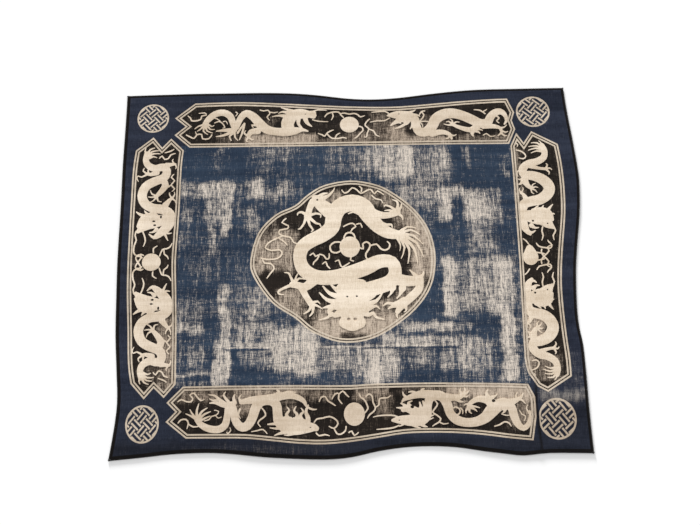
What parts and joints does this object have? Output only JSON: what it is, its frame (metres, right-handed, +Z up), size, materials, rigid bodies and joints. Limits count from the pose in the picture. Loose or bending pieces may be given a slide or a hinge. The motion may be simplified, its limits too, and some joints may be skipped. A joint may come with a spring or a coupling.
{
  "type": "dragon medallion carpet",
  "caption": "Flat hand-knotted wool carpet with ivory dragons on dark grounds, a worn blue field and a near end that folds over.",
  "frame": {"origin": "middle of the carpet's plan, on the floor plane under it", "axes": "+Z up out of the pile; +X along the long side, to the right; +Y to the far end"},
  "size_m": [3.7304, 3.073, 0.01],
  "materials": {
    "cotton_base": "undyed cotton warp and weft, matt, with the knot backs showing",
    "field_wool": "indigo wool pile, worn to the beige foundation in streaks",
    "border_wool": "deep indigo wool pile, little worn",
    "brown_wool": "undyed dark brown wool pile",
    "side_cord_wool": "dark wool overcast round the outer warps",
    "end_web": "flat-woven dark strip",
    "dark_wool": "corroded black-brown wool pile",
    "line_wool": "ivory wool lines",
    "ivory_wool": "ivory wool pile, standing proud"
  },
  "bodies": {
    "carpet": {"foundation": "cotton_base", "field_pile": "field_wool", "border_pile": "border_wool", "guard_band": "brown_wool", "left_side_cord": "side_cord_wool", "right_side_cord": "side_cord_wool", "far_end_strip": "end_web", "medallion_lines": "line_wool", "medallion_ground": "dark_wool", "medallion_dragon": "ivory_wool", "medallion_pearl": "ivory_wool", "medallion_clouds": "ivory_wool", "far_lines": "line_wool", "far_ground": "dark_wool", "far_left_dragon": "ivory_wool", "far_right_dragon": "ivory_wool", "far_pearl": "ivory_wool", "far_clouds": "ivory_wool", "left_lines": "line_wool", "left_ground": "dark_wool", "left_far_dragon": "ivory_wool", "left_near_dragon": "ivory_wool", "left_pearl": "ivory_wool", "left_clouds": "ivory_wool", "right_lines": "line_wool", "right_ground": "dark_wool", "right_far_dragon": "ivory_wool", "right_near_dragon": "ivory_wool", "right_pearl": "ivory_wool", "right_clouds": "ivory_wool", "far_left_roundel": "ivory_wool", "far_right_roundel": "ivory_wool"},
    "near_end": {"foundation_flap": "cotton_base", "field_pile_flap": "field_wool", "border_pile_flap": "border_wool", "guard_band_flap": "brown_wool", "left_side_cord_flap": "side_cord_wool", "right_side_cord_flap": "side_cord_wool", "near_end_strip": "end_web", "near_lines": "line_wool", "near_ground": "dark_wool", "near_left_dragon": "ivory_wool", "near_right_dragon": "ivory_wool", "near_pearl": "ivory_wool", "near_clouds": "ivory_wool", "left_lines_flap": "line_wool", "left_ground_flap": "dark_wool", "left_near_dragon_flap": "ivory_wool", "left_clouds_flap": "ivory_wool", "right_lines_flap": "line_wool", "right_ground_flap": "dark_wool", "right_near_dragon_flap": "ivory_wool", "right_clouds_flap": "ivory_wool", "near_left_roundel": "ivory_wool", "near_right_roundel": "ivory_wool"}
  },
  "joints": [
    {"name": "near_end_fold", "type": "hinge", "parent": "carpet", "child": "near_end", "pos_m": [0, -0.6685, 0.012], "axis": [-1, 0, 0], "range_deg": [0, 175]}
  ]
}
